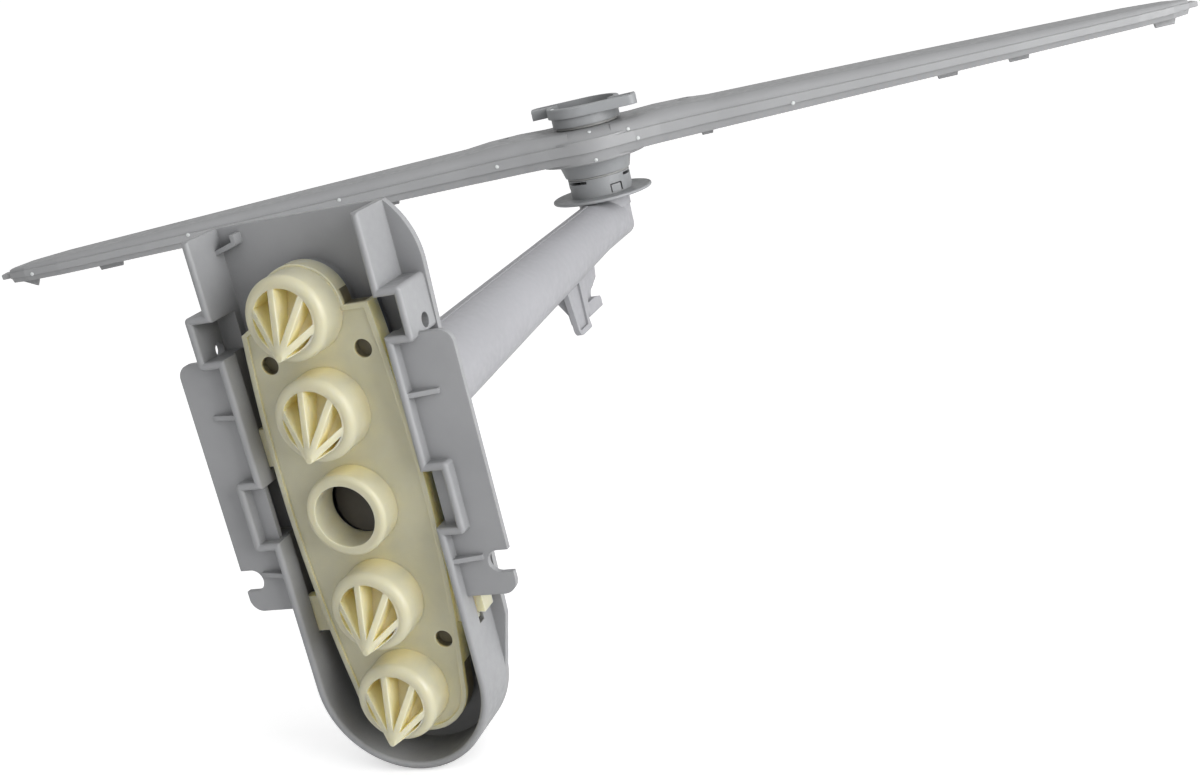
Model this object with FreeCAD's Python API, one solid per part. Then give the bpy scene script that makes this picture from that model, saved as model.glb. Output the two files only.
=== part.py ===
import FreeCAD, Part
import math
import os

V = FreeCAD.Vector
X_AXIS = V(1, 0, 0)
Y_AXIS = V(0, 1, 0)
Z_AXIS = V(0, 0, 1)

# Frame: millimetres, +Z up, spouts face -Y, arm hub behind them at +Y.
# The origin is the centre of the open spout's mouth.

# Reach of a cut past the face it opens, of a block into what it joins, and two tolerances
past = 1.0
bite = 0.5
near = 0.01
tiny = 1e-6

# Row of docking spouts; the open one has two above it
port_count = 5
upper_port_count = 2
port_pitch = 25.9
port_bore_r = 8.2
spout_r = 10.9
spout_len = 7.6
spout_lip_r = 1.3
nose_front = 2.0
nose_edge_r = 2.1
nose_base_r = 8.5
nose_len = 8.2
nose_drop = 7.6
nose_tip_r = 0.8
nose_seat = 0.2
window_r = 8.0
web_count = 4
web_spread = 31.0
web_turn = 11.5
web_t = 1.6
flute_depth = 7.0
flute_tip_depth = 4.0
flute_wall = 1.8
flute_end_gap = 0.1
flute_post_r = 1.3
blind_in = 0.6

# Port cover, a shallow tray with a skirt
cover_t = 2.0
cover_top_z = 51.5
cover_top_half = 18.2
cover_mid_half = 20.5
cover_low_half = 16.2
cover_slant_half = 18.5
cover_slant_z = 47.5
cover_lobe_r = 11.5
cover_end_bulge = (12.2, -60.9)
cover_end_z = -64.4
bulge_share = 0.7
bead_w = 1.3
bead_h = 0.6
pin_hole_r = 2.4
pin_hole_x = 13.4
pin_hole_rise = 1.2
pin_hole_depth = 2.4
pin_boss_r = 3.6
pin_boss_len = 1.8
lug_z = (17.3, -29.6)
lug_len = 10.0
lug_step = 0.8
lug_t = 3.0
lug_root = 3.0
lug_groove = 1.2
peg_root = 2.0
peg_w = 5.4
peg_out = 2.2
lug_fit = 0.15

# Check flap behind the open spout
flap_r = 8.6
flap_t = 1.2
flap_gap = 0.1
flap_neck_w = 5.0
flap_neck_rise = 2.0
flap_neck_step = 0.2
pivot_drop = 10.3
pivot_back = 1.9
barrel_r = 1.2
barrel_half = 3.6
pin_r = 0.8
pin_len = 1.3
pin_fit = 0.08
ear_t = 1.6
ear_gap = 0.2
ear_half = 1.6
ajar_angle = 12.0

# Docking carrier, a channel with wings
channel_half = 24.5
channel_wall = 2.0
channel_front_y = 2.0
back_y = 15.6
back_t = 2.0
land_rise = 3.4
land_inset = 0.9
channel_top_z = 73.6
channel_end_z = -49.0
flange_half = 31.0
flange_low_half = 28.2
flange_low_z = -37.0
flange_corner_z = 57.5
flange_round_in = 1.6
flange_round_share = 0.53
flange_foot_in = 1.0
flange_foot_drop = 18.0
pocket_half = 30.2
pocket_spans = ((41.2, 55.0), (-8.4, 10.6))
pocket_back_t = 2.6
pocket_round = 1.2
rim_round = 0.9
wing_y = 5.4
wing_t = 1.6
wing_half = 38.6
wing_top_z = 42.6
wing_low_z = -26.4
wing_round = 3.6
wire_r = 3.0
wire_x = 35.6
wire_z = -17.6
gusset_z = (28.0, -15.8)
gusset_t = 1.3
gusset_reach = 7.4
gusset_h = 2.6
gusset_tip_h = 0.8
drain_hole_r = 1.9
drain_hole_y = 10.6
drain_hole_z = 44.2
slit_w = 1.0
slit_low_z = -6.0
slit_high_z = 2.0
slit_front_y = 7.6
slit_reach = 4.2
finger_slot = 3.0
keeper_z = 67.3
keeper_leg = 4.6
keeper_rise = 1.6
keeper_round = 0.8
keeper_reach = 6.4
keeper_t = 1.2
keeper_depth = 3.2

# Water chamber behind the cover
gasket_t = 1.2
gasket_w = 1.1
gasket_side_gap = 0.15
skirt_lip_t = 0.8
skirt_lip_gap = 0.15
chamber_inset = 2.1
chamber_wall = 1.8
chamber_floor_y = 26.0

# Feed tube and its socket
tube_wall = 2.0
tube_z = 13.6
tube_r = 12.75
elbow_start = 20.0
elbow_z = 19.4
elbow_r = 9.3
elbow_round = 4.5
neck_r = 9.8
socket_len = 8.0
socket_wall = 2.2
socket_fit = 0.2
feed_bore_r = 10.6
tube_seal_t = 1.6
seam_w = 0.9
seam_h = 0.35
seam_start = 2.0

# Rack hook under the tube: a thin web, a foot below the wire's seat, a panelled tongue beside them
hook_y = 164.0
hook_root_z = 12.0
hook_web_t = 2.5
hook_web_in = 9.0
hook_web_rake = 4.0
hook_low_z = -5.3
hook_foot_x = 3.0
hook_foot_len = 15.2
hook_foot_h = 4.9
seat_front = 31.4
seat_low_z = -0.9
seat_r = 3.2
bump_y = 40.4
bump_z = 4.6
tongue_x = 3.0
tongue_t = 2.0
tongue_len = 16.4
tongue_low_z = -7.6
tongue_round = 3.8
tongue_rake = 3.2
tongue_back_rake = 7.0
tongue_panel_t = 0.9
tongue_rim = 2.0
hook_gusset_t = 2.0
hook_gusset_y = 2.6
hook_gusset_z = (6.8, 0.4)

# Hub: fixed spindle, collar and disc
hub_y = 235.0
disc_z = 29.0
disc_t = 1.2
disc_edge_r = 0.48
disc_r = 19.0
collar_r = 11.8
collar_bore_r = 9.8
collar_top_z = 37.1
snap_count = 3
snap_slot_h = 1.0
snap_slot_drop = 0.5
snap_slot_angle = 44.0
snap_slot_turn = -118.0
snap_window_w = 5.0
snap_window_h = 3.2
snap_window_turn = -41.0
snap_window_rise = 0.4
snap_tab_gap = 0.5
snap_tab_in = 0.4
spindle_r = 7.6
spindle_bore_r = 5.8
spindle_foot_z = 23.0
spindle_flange_r = 9.6
spindle_flange_t = 2.0
spindle_gap = 0.1
water_window_w = 5.5
water_window_h = 5.0

# Spray arm
arm_yaw = 19.5
arm_half_len = 230.0
arm_seam_z = 48.3
shoulder = 0.9
shell_t = 1.6
blade_roots = (8.0, 16.0, 26.0, 38.0, 47.0)
blade_shares = (0.4, 0.715)
blade_tip_backs = (25.0, 11.0, 4.0)
blade_half_widths = (21.0, 18.6, 16.7, 15.6, 15.1, 13.8, 12.6, 10.6, 8.0, 4.2)
blade_crowns = (56.0, 56.3, 57.1, 57.0, 56.1, 55.0, 53.8, 52.8, 52.2, 51.5)
blade_ledges = (52.2, 52.2, 52.1, 52.0, 51.9, 51.2, 51.0, 50.9, 50.8, 50.5)
blade_floors = (45.1, 45.1, 45.1, 45.1, 45.2, 45.7, 46.0, 46.2, 46.3, 46.3)
crown_shares = ((0.93, 0.55), (0.62, 0.93))
crown_column, ledge_column, floor_column = range(3)
floor_inset = 2.2
lower_inset = 0.8
tip_tab_w = 5.0
tip_tab_root = 4.0
tip_tab_round = 0.8
tip_tab_z = 50.3
hub_boss_r = 22.5
hub_dome_r = 13.6
hub_dome_bulge = 0.9
hub_ledge_z = 53.0
hub_top_z = 56.1
belly_z = 43.7
belly_r = 20.5
belly_round = 1.0
weld_rib_t = 1.2
weld_rib_h = 1.2
weld_rib_root = 1.0
weld_gap = 0.3
jet_r = 1.3
jet_boss_r = 4.5
jet_boss_h = 0.45
top_jets = (-31.0, 38.0)
jet_boss_top = 1.0
inner_jets = ((-79.0, 6.0), (43.5, 4.0))
left_tip_jets = ((41.5, 8.5),)
right_tip_jets = ((94.5, 7.0), (67.5, 7.0), (12.5, 7.0))
under_jet_t = 2.0
deflector_drop = 2.6
deflector_slope = 0.9
deflector_t = 1.2
tip_fin_back = 9.5
tip_fin_len = 9.0
tip_fin_slope = 2.0
tip_fin_drop = 3.1

# Arm hub sleeve, bushes and washers
cone_foot_z = 37.9
cone_foot_r = 12.4
cone_top_r = 14.0
sleeve_r = 11.0
sleeve_fit = 0.1
bush_r = 9.9
bush_len = 7.0
upper_bush_len = 3.8
run_gap = 0.05
gallery_r = 9.0
washer_t = 0.55
upper_washer_t = 1.0
washer_in = 0.8
axial_gap = 0.15
window_rise = 3.6
hub_window_half = 5.5
hub_window_h = 4.6

# Lock nut
nut_r = 12.8
nut_lip = 1.1
nut_edge_r = 0.5
nut_skirt_wall = 2.0
nut_floor_z = 59.4
nut_floor_t = 1.5
nut_top_z = 64.7
nut_reach = 19.8
nut_wing_w = 8.0
nut_wing_round = 3.2
nut_wall = 1.8
nut_bore_gap = 0.15
nut_lift = 0.12
lug_r = 9.6
lug_half_angle = 20.0
lug_h = 1.4
slot_gap_angle = 6.0

# Derived places
port_zs = [(upper_port_count - i) * port_pitch for i in range(port_count)]
cover_back_y = spout_len + cover_t
back_out_y = back_y + back_t
land_y = back_y - land_rise
inner_half = channel_half - channel_wall
skirt_end_y = land_y - gasket_t
slant_miter = math.tan(math.radians(22.5))
seat_y = chamber_floor_y + chamber_wall
tube_end_y = seat_y + tube_seal_t
lug_front_y = spout_len + lug_step
pivot_y = cover_back_y + pivot_back
collar_floor_z = disc_z + disc_t
washer_low_z = collar_top_z + run_gap
upper_washer_z = hub_top_z + axial_gap
nut_foot_z = upper_washer_z + upper_washer_t + run_gap
roof_z = hub_top_z - shell_t
window_low_z = belly_z + window_rise
shoulder_s = arm_half_len - blade_tip_backs[0]
station_places = (list(blade_roots)
                  + [blade_roots[-1] + f * (shoulder_s - blade_roots[-1]) for f in blade_shares]
                  + [arm_half_len - back for back in blade_tip_backs])
arm_stations = list(zip(station_places, blade_half_widths,
                        zip(blade_crowns, blade_ledges, blade_floors)))
blade_end = station_places[-1]
under_jets = (list(inner_jets) + [(back - arm_half_len, length) for back, length in left_tip_jets]
              + [(arm_half_len - back, length) for back, length in right_tip_jets])


def box(x0, x1, y0, y1, z0, z1):
    """Block between two corners."""
    return Part.makeBox(x1 - x0, y1 - y0, z1 - z0, V(x0, y0, z0))


def rod(r, length, base, axis=Z_AXIS):
    """Plain cylinder from its base point along an axis."""
    return Part.makeCylinder(r, length, base, axis)


def ring(r_out, r_in, length, base, axis=Z_AXIS):
    """Cylinder with a coaxial hole."""
    return rod(r_out, length, base, axis).cut(rod(r_in, length, base, axis))


def joined(shapes):
    """One solid from several that meet, without seam lines left on flat faces."""
    first = shapes[0]
    return first.fuse(list(shapes[1:])).removeSplitter() if len(shapes) > 1 else first


def outline(start, steps, place):
    """Closed wire; a step with two points is an arc through the first of them."""
    edges = []
    here = start
    for step in steps:
        if isinstance(step[0], tuple):
            edges.append(Part.Arc(place(*here), place(*step[0]), place(*step[1])).toShape())
            here = step[1]
        else:
            edges.append(Part.LineSegment(place(*here), place(*step)).toShape())
            here = step
    if place(*here).distanceToPoint(place(*start)) > tiny:
        edges.append(Part.LineSegment(place(*here), place(*start)).toShape())
    return Part.Wire(edges)


def slab_x(start, steps, x0, x1):
    """Solid from an outline in Y and Z, between two X places."""
    wire = outline(start, steps, lambda y, z: V(x0, y, z))
    return Part.Face(wire).extrude(V(x1 - x0, 0, 0))


def slab_y(start, steps, y0, y1):
    """Solid from an outline in X and Z, between two Y places."""
    wire = outline(start, steps, lambda x, z: V(x, y0, z))
    return Part.Face(wire).extrude(V(0, y1 - y0, 0))


def slab_z(start, steps, z0, z1):
    """Solid from an outline in X and Y, between two heights."""
    wire = outline(start, steps, lambda x, y: V(x, y, z0))
    return Part.Face(wire).extrude(V(0, 0, z1 - z0))


def turned(start, steps):
    """Solid of revolution about Z from an outline in radius and height."""
    wire = outline(start, steps, lambda r, z: V(r, 0, z))
    return Part.Face(wire).revolve(V(0, 0, 0), Z_AXIS, 360)


def inset_of(r):
    """How far the middle of a rounded corner lies in from both of its sides."""
    return r * (1.0 - math.sqrt(0.5))


def mirrored(shape):
    """The same shape on the other side of the plane x = 0."""
    return shape.mirror(V(0, 0, 0), X_AXIS)


def both_sides(shape):
    """The shape with its mirror image in the plane x = 0."""
    return [shape, mirrored(shape)]


def at_hub(shape, yaw=0.0):
    """Turns a shape about Z and sets it on the hub axis."""
    placed = shape.copy()
    placed.rotate(V(0, 0, 0), Z_AXIS, yaw)
    placed.translate(V(0, hub_y, 0))
    return placed


# Docking carrier
def channel_prism(half, top_z, y0, y1):
    """Long U section: straight sides and a half-round lower end."""
    end = (0, channel_end_z - half)
    steps = [(-half, channel_end_z), (end, (half, channel_end_z)), (half, top_z)]
    return slab_y((-half, top_z), steps, y0, y1)


def back_plate():
    """Back of the channel with a flange beside it and large upper corners."""
    corner = flange_corner_z
    top = channel_top_z
    bulge = (flange_half - flange_round_in, corner + flange_round_share * (top - corner))
    foot = (channel_half - flange_foot_in, flange_low_z - flange_foot_drop)
    side = [(flange_half, corner), (bulge, (channel_half, top))]
    left = [(-channel_half, top), ((-bulge[0], bulge[1]), (-flange_half, corner)),
            (-flange_low_half, flange_low_z), (-foot[0], foot[1]), foot]
    plate = slab_y((flange_low_half, flange_low_z), side + left, back_y, back_out_y)
    return plate.fuse(channel_prism(channel_half, 0.0, back_y, back_out_y))


def side_pocket(span):
    """Outward step of the right wall: outer block and the space inside it."""
    z0, z1 = span
    outer = box(inner_half, pocket_half, channel_front_y, back_y, z0, z1)
    corners = [e for e in outer.Edges if e.BoundBox.XMin > pocket_half - near and e.BoundBox.ZLength < near]
    corners = [e for e in corners if e.BoundBox.YLength > near]
    inner = box(inner_half - past, pocket_half - channel_wall, channel_front_y - past,
                back_y - pocket_back_t, z0 + channel_wall, z1 - channel_wall)
    return outer.makeFillet(pocket_round, corners), inner


def carrier_shell():
    """Channel walls with their pockets, the rims rounded."""
    outers = [channel_prism(channel_half, channel_top_z, channel_front_y, back_y)]
    inners = [channel_prism(inner_half, channel_top_z + past, channel_front_y - past, back_y)]
    for span in pocket_spans:
        block, space = side_pocket(span)
        outers += both_sides(block)
        inners += both_sides(space)
    walls = joined(outers).cut(joined(inners))
    rim = [e for e in walls.Edges if e.BoundBox.YMax < channel_front_y + near]
    return walls.makeFillet(rim_round, rim)


def wing():
    """Right wing with its round-ended wire notch and hooked lower end."""
    x1 = wing_half
    top = wing_top_z
    low = wing_low_z
    r = wing_round
    k = inset_of(r)
    x0 = channel_half - bite
    steps = [(x1 - r, top), ((x1 - k, top - k), (x1, top - r)), (x1, low + r),
             ((x1 - k, low + k), (x1 - r, low)), (x0, low)]
    plate = slab_y((x0, top), steps, wing_y, wing_y + wing_t)
    y0 = wing_y - past
    y1 = wing_y + wing_t + past
    notch = rod(wire_r, y1 - y0, V(wire_x, y0, wire_z), Y_AXIS)
    mouth = box(wire_x, x1 + past, y0, y1, wire_z - wire_r, wire_z + wire_r)
    return plate.cut(notch.fuse(mouth))


def gusset(z):
    """Small tapered rib in the corner of wall and wing."""
    x0 = channel_half - bite
    x1 = channel_half + gusset_reach
    deep = wing_y + wing_t / 2
    steps = [(x1, deep), (x1, wing_y - gusset_tip_h), (x0, wing_y - gusset_h)]
    return slab_z((x0, deep), steps, z - gusset_t / 2, z + gusset_t / 2)


def keeper():
    """Small keeper inside the upper left corner: a rising foot and an upright post."""
    x0 = -inner_half - bite
    x1 = keeper_reach - inner_half
    e = keeper_round
    k = inset_of(e)
    bend_z = keeper_z + keeper_rise
    top_z = keeper_z + keeper_leg
    steps = [(x1 - e, bend_z), ((x1 - k, bend_z + k), (x1, bend_z + e)), (x1, top_z),
             (x1 - keeper_t, top_z), (x1 - keeper_t, bend_z + keeper_t), (x0, keeper_z + keeper_t)]
    return slab_y((x0, keeper_z), steps, back_y - keeper_depth, back_y + bite)


def wall_cuts():
    """Peg windows, lug grooves, finger slits and drain holes of the side walls."""
    far = pocket_half + past
    inside = inner_half - past
    half = peg_w / 2 + lug_fit
    y0 = lug_front_y - lug_fit
    y1 = y0 + peg_w + 2 * lug_fit
    cuts = []
    for z, span in zip(lug_z, pocket_spans):
        cuts += both_sides(box(inside, far, y0, y1, z - half, z + half))
        cuts += both_sides(box(inside, far, y0, y0 + peg_w / 2, z - half - finger_slot, z))
        foot_z = z - lug_len / 2 - lug_fit
        cuts += both_sides(box(inside, inner_half + lug_groove, y0, back_y, foot_z, span[0] + channel_wall))
    x1 = bite + channel_wall - pocket_half
    tall = box(-far, x1, slit_front_y, slit_front_y + slit_w, slit_low_z, slit_high_z)
    flat = box(-far, x1, slit_front_y, slit_front_y + slit_reach, slit_low_z, slit_low_z + slit_w)
    cuts.append(tall.fuse(flat))
    cuts += both_sides(rod(drain_hole_r, far + x1, V(-far, drain_hole_y, drain_hole_z), X_AXIS))
    return cuts


def docking_carrier():
    """Grey channel with wings, wire hooks, water chamber and the tube's socket."""
    land = cover_prism(land_inset, land_y, back_out_y)
    trough = cover_prism(chamber_inset - chamber_wall, back_y, seat_y)
    boss = rod(tube_r + socket_fit + socket_wall, socket_len, V(0, seat_y, tube_z), Y_AXIS)
    body = joined([carrier_shell(), back_plate(), land, trough, boss] + both_sides(wing())
                  + [g for z in gusset_z for g in both_sides(gusset(z))] + [keeper()])
    chamber = cover_prism(chamber_inset, land_y - past, chamber_floor_y)
    bore = rod(feed_bore_r, chamber_wall + 2 * past, V(0, chamber_floor_y - past, tube_z), Y_AXIS)
    socket = rod(tube_r + socket_fit, socket_len + past, V(0, seat_y, tube_z), Y_AXIS)
    return body.cut(wall_cuts() + [chamber, bore, socket])


# Port cover
def cover_prism(shrink, y0, y1):
    """Long rounded outline of the cover with its upper left corner cut, drawn in by a distance."""
    top = cover_top_z - shrink
    wide = cover_top_half - shrink
    mid = cover_mid_half - shrink
    low = cover_low_half - shrink
    sink = shrink * slant_miter
    slant = (shrink - cover_slant_half, cover_slant_z - sink)
    shoulder_end = (shrink + past - cover_lobe_r, port_zs[0] - sink)
    end_z = port_zs[-1]
    steps = [((mid, 0), (low, end_z)), (-low, end_z), ((-mid, 0), slant), shoulder_end, (0, top)]
    body = slab_y((wide, top), steps, y0, y1)
    lobe = rod(cover_lobe_r - shrink, y1 - y0, V(0, y0, port_zs[0]), Y_AXIS)
    bulge = (cover_end_bulge[0] - bulge_share * shrink, cover_end_bulge[1] + bulge_share * shrink)
    bottom = (0, cover_end_z + shrink)
    root_z = end_z + past
    steps = [((-bulge[0], bulge[1]), bottom), (bulge, (low, end_z)), (low, root_z), (-low, root_z)]
    end = slab_y((-low, end_z), steps, y0, y1)
    return joined([body, lobe, end])


def open_spout(z):
    """Plain round spout with a rounded lip."""
    tube = rod(spout_r, spout_len + cover_t, V(0, 0, z), Y_AXIS)
    lip = [e for e in tube.Edges if e.BoundBox.YMax < near]
    return tube.makeFillet(spout_lip_r, lip)


def nose(z, back, tip_back):
    """Slanted cone on a spout's mouth, its tip low and forward, set back by two distances."""
    base_y = nose_seat - nose_front + back
    tip_y = tip_back - nose_len
    base = Part.Wire(Part.Circle(V(0, base_y, z), Y_AXIS, nose_base_r).toShape())
    tip = Part.Wire(Part.Circle(V(0, tip_y, z - nose_drop), Y_AXIS, nose_tip_r).toShape())
    return Part.makeLoft([base, tip], True, True)


def nosed_spout(z):
    """Spout with a broad rounded edge that carries the slanted cone."""
    length = nose_front + spout_len + cover_t
    tube = rod(spout_r, length, V(0, -nose_front, z), Y_AXIS)
    lip = [e for e in tube.Edges if e.BoundBox.YMax < near - nose_front]
    return tube.makeFillet(nose_edge_r, lip).fuse(nose(z, 0.0, 0.0))


def fan_webs(z):
    """Thin webs that fan out from under the tip and stand between the flutes."""
    webs = []
    for i in range(web_count):
        web = box(-web_t / 2, web_t / 2, -nose_len - past, flute_depth, 0, nose_drop + spout_r)
        web.rotate(V(0, 0, 0), Y_AXIS, web_turn + (i - (web_count - 1) / 2) * web_spread)
        web.translate(V(0, 0, z - nose_drop))
        webs.append(web)
    return webs


def spout_ways(z, nosed):
    """Spaces inside a spout: one open bore, or flutes in front of a closed core and a blind bore."""
    if not nosed:
        return [rod(port_bore_r, cover_back_y + 2 * past, V(0, -past, z), Y_AXIS)]
    floor = nose_seat - nose_front + flute_depth
    y0 = -nose_len - past
    front = rod(window_r, floor - flute_end_gap - y0, V(0, y0, z), Y_AXIS)
    post = rod(flute_post_r, floor - y0, V(0, y0, z - nose_drop), Y_AXIS)
    flutes = front.cut([nose(z, flute_depth, flute_tip_depth), post] + fan_webs(z))
    blind_y = floor + flute_wall
    return [flutes, rod(port_bore_r - blind_in, cover_back_y + past - blind_y, V(0, blind_y, z), Y_AXIS)]


def side_lugs():
    """Lugs beside the skirt, each with a square peg through the carrier's wall."""
    lugs = []
    y0 = lug_front_y
    root = cover_low_half - lug_root
    half = peg_w / 2
    for z in lug_z:
        reach = inner_half + lug_groove - lug_fit
        ear = box(root, reach, y0, y0 + lug_t, z - lug_len / 2, z + lug_len / 2)
        peg = box(inner_half - peg_root, channel_half + peg_out, y0, y0 + peg_w, z - half, z + half)
        lugs += both_sides(ear.fuse(peg))
    return lugs


def pin_places():
    """Centres of the blind locating holes in the cover's face."""
    upper = (port_zs[0] + port_zs[1]) / 2
    lower = (port_zs[-1] + port_zs[-2]) / 2
    return [(-pin_hole_x, upper), (pin_hole_x, upper + pin_hole_rise), (pin_hole_x, lower)]


def flap_ears(z):
    """Pair of hinge ears below a spout, on the cover's inner face."""
    x0 = barrel_half + ear_gap
    pz = z - pivot_drop
    ear = box(x0, x0 + ear_t, cover_back_y - bite, pivot_y + ear_half, pz - ear_half, pz + ear_half)
    hole = rod(pin_r + pin_fit, ear_t + 2 * past, V(x0 - past, pivot_y, pz), X_AXIS)
    return both_sides(ear.cut(hole))


def check_flap(z, angle):
    """Round check flap with its hinge barrel, turned open by an angle."""
    pz = z - pivot_drop
    y0 = cover_back_y + flap_gap
    disc = rod(flap_r, flap_t, V(0, y0, z), Y_AXIS)
    neck = box(-flap_neck_w / 2, flap_neck_w / 2, y0 + flap_neck_step, y0 + flap_t,
               pz, z - flap_r + flap_neck_rise)
    barrel = rod(barrel_r, 2 * barrel_half, V(-barrel_half, pivot_y, pz), X_AXIS)
    half = barrel_half + pin_len
    pin = rod(pin_r, 2 * half, V(-half, pivot_y, pz), X_AXIS)
    flap = joined([disc, neck, barrel, pin])
    flap.rotate(V(0, pivot_y, pz), X_AXIS, -angle)
    return flap


def port_cover():
    """Cream tray with the row of spouts, its lipped skirt, edge bead, lugs and ears."""
    plate = cover_prism(0.0, spout_len, land_y - skirt_lip_gap)
    bead = cover_prism(0.0, spout_len - bead_h, spout_len + bite)
    bead = bead.cut(cover_prism(bead_w, spout_len - bead_h, spout_len))
    hollow = cover_prism(cover_t, cover_back_y, skirt_end_y)
    rebate = cover_prism(skirt_lip_t, skirt_end_y, land_y)
    shell = joined([plate, bead] + side_lugs()).cut([hollow, rebate])
    parts = [shell]
    ways = []
    for i, z in enumerate(port_zs):
        nosed = i != upper_port_count
        parts.append(nosed_spout(z) if nosed else open_spout(z))
        ways += spout_ways(z, nosed)
    parts += flap_ears(port_zs[upper_port_count])
    for x, z in pin_places():
        parts.append(rod(pin_boss_r, pin_boss_len, V(x, cover_back_y - bite, z), Y_AXIS))
        ways.append(rod(pin_hole_r, pin_hole_depth + bead_h, V(x, spout_len - bead_h, z), Y_AXIS))
    return joined(parts).cut(ways)


def chamber_gasket():
    """Soft ring between the cover's skirt and the carrier, inside the skirt's lip."""
    inset = skirt_lip_t + gasket_side_gap
    ring_out = cover_prism(inset, skirt_end_y, land_y)
    return ring_out.cut(cover_prism(inset + gasket_w, skirt_end_y, land_y))


# Feed tube
def elbow_corner(r):
    """Outer corner where the level tube meets the neck, with a rounded heel."""
    level = rod(r, 2 * r, V(0, hub_y - r, elbow_z), Y_AXIS)
    upright = rod(r, 3 * r, V(0, hub_y, elbow_z - r))
    e = elbow_round
    k = inset_of(e)
    y0 = hub_y - r
    y1 = hub_y + r
    z0 = elbow_z - r
    z1 = elbow_z + r
    steps = [(y1 - e, z0), ((y1 - k, z0 + k), (y1, z0 + e)), (y1, z1), (y0, z1)]
    return level.common(upright).common(slab_x((y0, z0), steps, -r, r))


def tube_core(inset, y0, neck_top):
    """Solid of the tapered tube, elbow and neck, drawn in all round by a wall."""
    def section(y, z, r):
        return Part.Wire(Part.Circle(V(0, y, z), Y_AXIS, r - inset).toShape())
    end_y = hub_y - elbow_start
    run = Part.makeLoft([section(y0, tube_z, tube_r), section(end_y, elbow_z, elbow_r)], True, True)
    r = elbow_r - inset
    level = rod(r, elbow_start, V(0, end_y, elbow_z), Y_AXIS)
    neck = rod(r, neck_top - elbow_z, V(0, hub_y, elbow_z))
    return joined([run, level, elbow_corner(r), neck])


def hook_tongue():
    """Panelled tongue of the rack hook, its wide face towards +X."""
    y0 = hook_y + tongue_rake
    y1 = hook_y + tongue_len
    low = tongue_low_z
    r = tongue_round
    k = inset_of(r)
    steps = [(y0, low + r), ((y0 + k, low + k), (y0 + r, low)), (y1, low),
             (y1 - past, low + r), (y1 + tongue_back_rake, hook_root_z)]
    tongue = slab_x((hook_y, hook_root_z), steps, tongue_x, tongue_x + tongue_t)
    rim = tongue_rim
    steps = [(y0 + rim, low + rim), (y1 - rim - past, low + rim), (y1 - rim - past, hook_root_z)]
    face_x = tongue_x + tongue_t
    panel = slab_x((hook_y + rim, hook_root_z), steps, face_x - tongue_panel_t, face_x + past)
    return tongue.cut(panel)


def rack_hook():
    """Hook for a cross wire of the rack: web with the wire's seat, foot, gusset and tongue."""
    half = hook_web_t / 2
    seat_y0 = hook_y + seat_front
    top_z = hook_root_z
    k = inset_of(seat_r)
    seat = [(seat_y0, hook_low_z), (seat_y0, seat_low_z),
            ((seat_y0 + k, seat_low_z + seat_r - k), (seat_y0 + seat_r, seat_low_z + seat_r)),
            (hook_y + bump_y, bump_z), (hook_y + bump_y + hook_web_t, top_z)]
    front = hook_y + hook_web_in
    web = slab_x((front, top_z), [(front + hook_web_rake, hook_low_z)] + seat, -half, half)
    foot_y1 = seat_y0 + seat_r + hook_gusset_t
    foot_y0 = foot_y1 - hook_foot_len
    z1 = hook_low_z + hook_foot_h
    steps = [(foot_y1, hook_low_z), (foot_y1, z1 - 2 * past), (foot_y1 - past, z1 - past),
             (seat_y0 - past, z1), (foot_y0, z1)]
    foot = slab_x((foot_y0, hook_low_z), steps, -half, hook_foot_x)
    y0 = hook_y + hook_gusset_y
    high_z, low_z = hook_gusset_z
    steps = [(-half, high_z), (tongue_x, low_z), (tongue_x + bite, low_z), (tongue_x + bite, top_z)]
    gusset_plate = slab_y((-half, top_z), steps, y0, y0 + hook_gusset_t)
    return [web, foot, gusset_plate, hook_tongue()]


def tube_seam():
    """Low weld line along the top of the tube."""
    y0 = seat_y + socket_len + seam_start
    band = box(-seam_w / 2, seam_w / 2, y0, hub_y - elbow_start, elbow_z, elbow_z + tube_r)
    return band.common(tube_core(-seam_h, tube_end_y, disc_z))


def feed_tube_halves():
    """Left and right mouldings of the feed tube, welded on the plane x = 0."""
    outer = tube_core(0.0, tube_end_y, disc_z)
    top = rod(neck_r, disc_z - elbow_z - elbow_round, V(0, hub_y, elbow_z + elbow_round))
    whole = joined([outer, top, tube_seam()] + rack_hook())
    inner = tube_core(tube_wall, tube_end_y - past, disc_z + past)
    socket_z = spindle_foot_z - spindle_gap
    neck_bore = rod(spindle_r + spindle_gap, disc_z - socket_z + past, V(0, hub_y, socket_z))
    hollow = whole.cut([inner, neck_bore])
    far = 2 * hub_y
    left = hollow.common(box(-far, 0, -far, far, -far, far))
    right = hollow.common(box(0, far, -far, far, -far, far))
    return left, right


def tube_seal():
    """Soft ring at the bottom of the carrier's socket."""
    return ring(tube_r, feed_bore_r, tube_seal_t, V(0, seat_y, tube_z), Y_AXIS)


# Fixed hub parts
def sector(r, half_angle, z0, z1, centre_angle):
    """Wedge about the Z axis."""
    a = math.radians(half_angle)
    steps = [(r * math.cos(a), -r * math.sin(a)), ((r, 0), (r * math.cos(a), r * math.sin(a))), (0, 0)]
    wedge = slab_z((0, 0), steps, z0, z1)
    wedge.rotate(V(0, 0, 0), Z_AXIS, centre_angle)
    return wedge


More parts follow.
